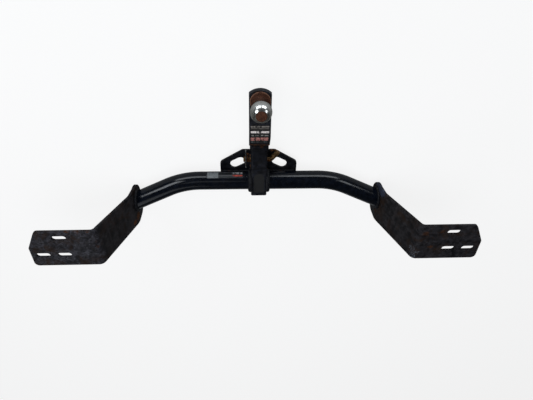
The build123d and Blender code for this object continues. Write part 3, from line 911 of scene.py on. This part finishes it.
class HITCH_OT_ball_mount_paint(bpy.types.Operator):
    """Satin black paint on the ball mount's shank and tongue"""

    bl_idname = "hitch.ball_mount_paint"
    bl_label = "Ball mount paint"

    def execute(self, context):
        colour = tuple(context.scene.hitch_paint.receiver_colour)
        tongue = black_paint("Satin black paint, tongue", colour, (0.32, 0.52), specks=0.7, scuffs=(8, 1, 1))
        toe = tongue.within("Y", tongue_high.y - 0.0075, tongue_high.y + 0.001, 0.0016)
        torn = tongue.band(tongue.noise(240.0, 4, 0.65), 0.4, 0.58)
        rust_over(tongue, tongue.times(toe, torn))
        dress(tongue.done(0.4), "ball_mount_tongue", slot="satin_black_paint")
        shank = black_paint(
            "Rubbed black paint, shank", colour, (0.34, 0.55), edge=0.9, specks=0.6, scuffs=(1, 9, 1)
        )
        dress(shank.done(0.4), "ball_mount_shank", slot="satin_black_paint")
        return {"FINISHED"}


class HITCH_OT_hardware(bpy.types.Operator):
    """Zinc plate on nut and washer, rusty yellow zinc on the pin, bright wire for the clip"""

    bl_idname = "hitch.hardware"
    bl_label = "Hardware finishes"

    @staticmethod
    def plating(name, dark, light, rust, grain=150.0, roughness=(0.35, 0.6)):
        """Plated metal with rust, which covers more the lower its number is."""
        finish = Finish(name, dark, light, grain, roughness)
        finish.metal = finish.band(finish.noise(90.0, 3), 0.2, 0.8, 0.75, 0.95)
        finish.raise_by(finish.noise(1400.0, 3, 0.6), 0.00004)
        mask = finish.band(finish.noise(110.0, 6, 0.7), rust, rust + 0.12)
        grains = finish.band(finish.noise(600.0, 4, 0.7), 0.4, 0.65)
        tones = finish.mix(grains, (0.045, 0.021, 0.011, 1), (0.15, 0.065, 0.022, 1))
        finish.coat(mask, tones, 0.88, 0.1, height=0.0001)
        return finish

    def execute(self, context):
        zinc = self.plating("Dull zinc", (0.2, 0.2, 0.195, 1), (0.34, 0.335, 0.32, 1), 0.56)
        dress(zinc.done(), "ball_nut", "lock_washer", slot="zinc_steel")
        pin = self.plating("Rusty yellow zinc", (0.04, 0.023, 0.01, 1), (0.34, 0.21, 0.09, 1), 0.5)
        across = pin_high.z - 0.003
        rust_over(pin, pin.blobs([(0.0262, -0.128, across, 0.014), (-0.0255, -0.128, across, 0.011)]))
        dress(pin.done(), "hitch_pin", slot="rusty_zinc")
        dark, light = (0.07, 0.07, 0.07, 1), (0.24, 0.235, 0.22, 1)
        clip = self.plating("Spring wire", dark, light, 0.55, 220.0, (0.3, 0.5))
        dress(clip.done(), "pin_clip", slot="spring_steel")
        return {"FINISHED"}


class HITCH_OT_stickers(bpy.types.Operator):
    """Weathered stickers with plain bands and no lettering"""

    bl_idname = "hitch.stickers"
    bl_label = "Stickers"

    # Start and end in metres from the rear, colour, and wear of each row on the tongue's sticker
    tongue_rows = (
        (0.0018, 0.0055, (0.22, 0.195, 0.175, 1), 0.42),
        (0.0082, 0.0092, (0.24, 0.215, 0.19, 1), 0.3),
        (0.0152, 0.0206, (0.8, 0.72, 0.69, 1), 0.4),
        (0.0254, 0.0282, (0.26, 0.25, 0.235, 1), 0.46),
        (0.0325, 0.0462, (0.56, 0.24, 0.21, 1), 0.4),
        (0.05, 0.0555, (0.14, 0.17, 0.175, 1), 0.5),
    )

    def tongue_sticker(self):
        """Rows across a dark ground, broken up along the row and worn."""
        dark, light = (0.0065, 0.0062, 0.0065, 1), (0.028, 0.025, 0.024, 1)
        finish = Finish("Weathered sticker, tongue", dark, light, 150.0, (0.32, 0.52))
        rear = sticker_low.y
        for start, end, colour, worn in self.tongue_rows:
            breaks = finish.band(finish.noise(300.0, 2, 0.5, 0.0, (1, 0.12, 0.12)), worn, worn + 0.05)
            torn = finish.band(finish.noise(520.0, 5, 0.7), 0.36, 0.46)
            row = finish.within("Y", rear + start, rear + end, 0.0003)
            finish.coat(finish.times(row, breaks, torn), colour, 0.5)
        scuffed = finish.band(finish.noise(140.0, 6, 0.7), 0.57, 0.66)
        finish.coat(scuffed, (0.01, 0.009, 0.01, 1), 0.6)
        dress(finish.done(0.4), "tongue_label", slot="label")

    def crossbar_sticker(self):
        """A silvery field, two thin lines and a block of two broken rows on a dark ground."""
        dark, light = (0.004, 0.0045, 0.006, 1), (0.012, 0.013, 0.016, 1)
        finish = Finish("Weathered sticker, crossbar", dark, light, 150.0, (0.25, 0.4))
        inner, outer = bar_sticker_low.x, bar_sticker_high.x
        low, high = bar_sticker_low.z, bar_sticker_high.z
        field_start = outer - 0.03
        silvery = finish.within("X", field_start, outer - 0.0012)
        worn = finish.band(finish.noise(260.0, 5, 0.7), 0.34, 0.46)
        finish.coat(finish.times(silvery, worn), (0.16, 0.17, 0.175, 1), 0.45)
        half_line = 0.0006
        for z in (low + 0.0012, tube_z + 0.0094):
            length = finish.within("X", inner + 0.027, field_start)
            line = finish.times(length, finish.within("Z", z - half_line, z + half_line, 0.0003))
            finish.coat(line, (0.11, 0.112, 0.115, 1), 0.5)
        block = finish.within("X", inner + 0.001, inner + 0.026)
        breaks = finish.band(finish.noise(300.0, 3, 0.6, 0.0, (1, 0.2, 0.2)), 0.42, 0.5)
        for row_low, row_high, colour in (
            (tube_z + 0.0079, tube_z + 0.0121, (0.5, 0.05, 0.03, 1)),
            (low + 0.001, tube_z + 0.0055, (0.26, 0.265, 0.27, 1)),
        ):
            row = finish.times(block, finish.within("Z", row_low, row_high, 0.0004))
            finish.coat(finish.times(row, breaks), colour, 0.5)
        edge = finish.band(finish.axis("Z"), high - 0.0009, high - 0.0004)
        finish.coat(finish.times(edge, 0.5), SCUFF, 0.5)
        dress(finish.done(0.4), "crossbar_label", slot="label")

    def execute(self, context):
        self.tongue_sticker()
        self.crossbar_sticker()
        return {"FINISHED"}


# The stage


class HITCH_OT_stage(bpy.types.Operator):
    """Pale floor, soft lamps and the camera"""

    bl_idname = "hitch.stage"
    bl_label = "Stage"

    @staticmethod
    def lamp(name, place, target, width, height, power, colour):
        """A flat lamp at a place, turned towards a target."""
        bpy.ops.object.select_all(action="DESELECT")
        turn = (Vector(target) - Vector(place)).to_track_quat("-Z", "Y").to_euler()
        bpy.ops.object.light_add(type="AREA", location=place, rotation=turn)
        lamp = bpy.context.object
        lamp.name = name
        lamp.data.shape = "RECTANGLE"
        lamp.data.size = width
        lamp.data.size_y = height
        lamp.data.energy = power
        lamp.data.color = colour
        return lamp

    def floor(self, stage):
        """A wide floor just under the hitch: near white to the camera, grey to the hitch itself."""
        below = 0.0005
        unseen_colour = (0.28, 0.28, 0.28, 1)
        white_to_camera = 0.84
        white_in_reflections = 0.06
        bpy.ops.object.select_all(action="DESELECT")
        bpy.ops.mesh.primitive_plane_add(size=16, location=(0, 0, cad_box[0].z - below))
        floor = bpy.context.object
        floor.name = "floor"
        material = bpy.data.materials.new("Pale floor")
        material.use_nodes = True
        wiring = Nodes(material.node_tree)
        shader = wiring.tree.nodes["Principled BSDF"]
        camera_ray = wiring.node("ShaderNodeLightPath", "Is Camera Ray")
        glossy_ray = camera_ray.node.outputs["Is Glossy Ray"]
        seen = wiring.mix(camera_ray, unseen_colour, stage.floor_colour)
        wiring.put(seen, shader.inputs["Base Color"])
        wiring.put(0.9, shader.inputs["Roughness"])
        inputs = {0: glossy_ray, 1: white_in_reflections}
        mirrored = wiring.node("ShaderNodeMath", "Value", inputs, operation="MULTIPLY")
        inputs = {0: camera_ray, 1: white_to_camera, 2: mirrored}
        share = wiring.node("ShaderNodeMath", "Value", inputs, operation="MULTIPLY_ADD")
        white = wiring.node("ShaderNodeEmission", "Emission")
        both = wiring.node("ShaderNodeMixShader", "Shader", {0: share, 1: shader.outputs["BSDF"], 2: white})
        wiring.put(both, wiring.tree.nodes["Material Output"].inputs["Surface"])
        floor.data.materials.append(material)

    def world(self):
        """White to the camera and dark to everything else."""
        unseen_strength = 0.04
        world = bpy.data.worlds.new("Soft studio")
        bpy.context.scene.world = world
        world.use_nodes = True
        wiring = Nodes(world.node_tree)
        background = wiring.tree.nodes["Background"]
        camera_ray = wiring.node("ShaderNodeLightPath", "Is Camera Ray")
        inputs = {"Value": camera_ray, "To Min": unseen_strength, "To Max": 1.0}
        wiring.put(wiring.node("ShaderNodeMapRange", "Result", inputs), background.inputs["Strength"])
        wiring.put((0.95, 0.97, 1.0, 1), background.inputs["Color"])

    def camera(self, stage):
        """The photograph's camera: tilt, swing, roll and place fitted to the picture."""
        tilt, swing, roll = math.radians(39.0), math.radians(-3.53), math.radians(1.53)
        rows = Matrix(((-1, 0, 0), (0, math.cos(tilt), math.sin(tilt)), (0, math.sin(tilt), -math.cos(tilt))))
        turn = Matrix.Rotation(roll, 3, "Z") @ rows @ Matrix.Rotation(swing, 3, "Y")
        offset = Vector((-0.0209, -0.0533, 1.147))  # the crossbar's middle, seen from the camera
        place = -(turn.transposed() @ offset) - Vector((0, -tube_y, tube_drop))
        bpy.ops.object.select_all(action="DESELECT")
        bpy.ops.object.camera_add()
        camera = bpy.context.object
        axes = Matrix((turn[0], -turn[1], -turn[2])).transposed()
        camera.matrix_world = Matrix.Translation(place) @ axes.to_4x4()
        camera.data.lens = stage.focal_length
        camera.data.sensor_width = 36.0
        camera.data.clip_start = 0.01
        bpy.context.scene.camera = camera

    def lamps(self, stage):
        """A wide and a small lamp overhead, low strips behind, one at each side and a weak one in front."""
        colour = tuple(stage.lamp_colour)
        soft = self.lamp("soft", (0.15, -0.5, 1.7), (0, -0.05, -0.15), 1.6, 1.6, stage.soft_power, colour)
        soft.visible_glossy = False
        for side_name, side in SIDES.items():
            place, target = (side * 0.8, -1.9, 0.06), (side * 0.3, -0.2, -0.15)
            self.lamp(f"strip_{side_name}", place, target, 1.25, 0.6, stage.strip_power, colour)
        ball = (0, -0.3, -0.08)
        self.lamp("side_right", (1.14, -0.88, 0.72), ball, 0.74, 0.5, stage.side_power, colour)
        self.lamp("side_left", (-1.28, -0.91, 0.67), ball, 0.5, 0.45, 0.42 * stage.side_power, colour)
        self.lamp("top", (0.5, -0.78, 1.75), (0.1, -0.1, -0.15), 0.9, 0.5, stage.top_power, colour)
        self.lamp("fill", (1.15, 1.5, 1.45), (0.4, 0, -0.1), 1.5, 1.5, stage.fill_power, colour)

    def execute(self, context):
        stage = context.scene.hitch_stage
        self.floor(stage)
        self.world()
        self.lamps(stage)
        self.camera(stage)
        context.scene.view_settings.view_transform = "Standard"
        return {"FINISHED"}


class HITCH_PT_panel(bpy.types.Panel):
    """Shows the hitch's settings and a button for each of its operators"""

    bl_idname = "HITCH_PT_panel"
    bl_label = "Trailer Hitch Receiver"
    bl_space_type = "VIEW_3D"
    bl_region_type = "UI"
    bl_category = "Hitch"

    def draw(self, context):
        layout = self.layout
        for group in PROPERTY_GROUPS:
            settings = getattr(context.scene, group)
            box = layout.box()
            for name in settings.bl_rna.properties.keys():
                if name not in ("rna_type", "name"):
                    box.prop(settings, name)
        for operator in OPERATORS:
            layout.operator(operator.bl_idname)


PROPERTY_GROUPS = {
    "hitch_paint": HitchPaint,
    "hitch_welds": HitchWelds,
    "hitch_ball": HitchBall,
    "hitch_stage": HitchStage,
}
OPERATORS = (
    HITCH_OT_bracket_welds,
    HITCH_OT_receiver_welds,
    HITCH_OT_plate_welds,
    HITCH_OT_tongue_weld,
    HITCH_OT_ball,
    HITCH_OT_crossbar_paint,
    HITCH_OT_receiver_paint,
    HITCH_OT_chain_plate_paint,
    HITCH_OT_bracket_paint,
    HITCH_OT_ball_mount_paint,
    HITCH_OT_hardware,
    HITCH_OT_stickers,
    HITCH_OT_stage,
)
CLASSES = (*PROPERTY_GROUPS.values(), *OPERATORS, HITCH_PT_panel)


def register():
    for cls in CLASSES:
        bpy.utils.register_class(cls)
    for name, group in PROPERTY_GROUPS.items():
        setattr(bpy.types.Scene, name, bpy.props.PointerProperty(type=group))


def unregister():
    for name in PROPERTY_GROUPS:
        delattr(bpy.types.Scene, name)
    for cls in reversed(CLASSES):
        bpy.utils.unregister_class(cls)


def main():
    register()
    bpy.ops.hitch.bracket_welds()
    bpy.ops.hitch.receiver_welds()
    bpy.ops.hitch.plate_welds()
    bpy.ops.hitch.tongue_weld()
    bpy.ops.hitch.ball()
    bpy.ops.hitch.crossbar_paint()
    bpy.ops.hitch.receiver_paint()
    bpy.ops.hitch.chain_plate_paint()
    bpy.ops.hitch.bracket_paint()
    bpy.ops.hitch.ball_mount_paint()
    bpy.ops.hitch.hardware()
    bpy.ops.hitch.stickers()
    bpy.ops.hitch.stage()


if __name__ == "__main__":
    main()
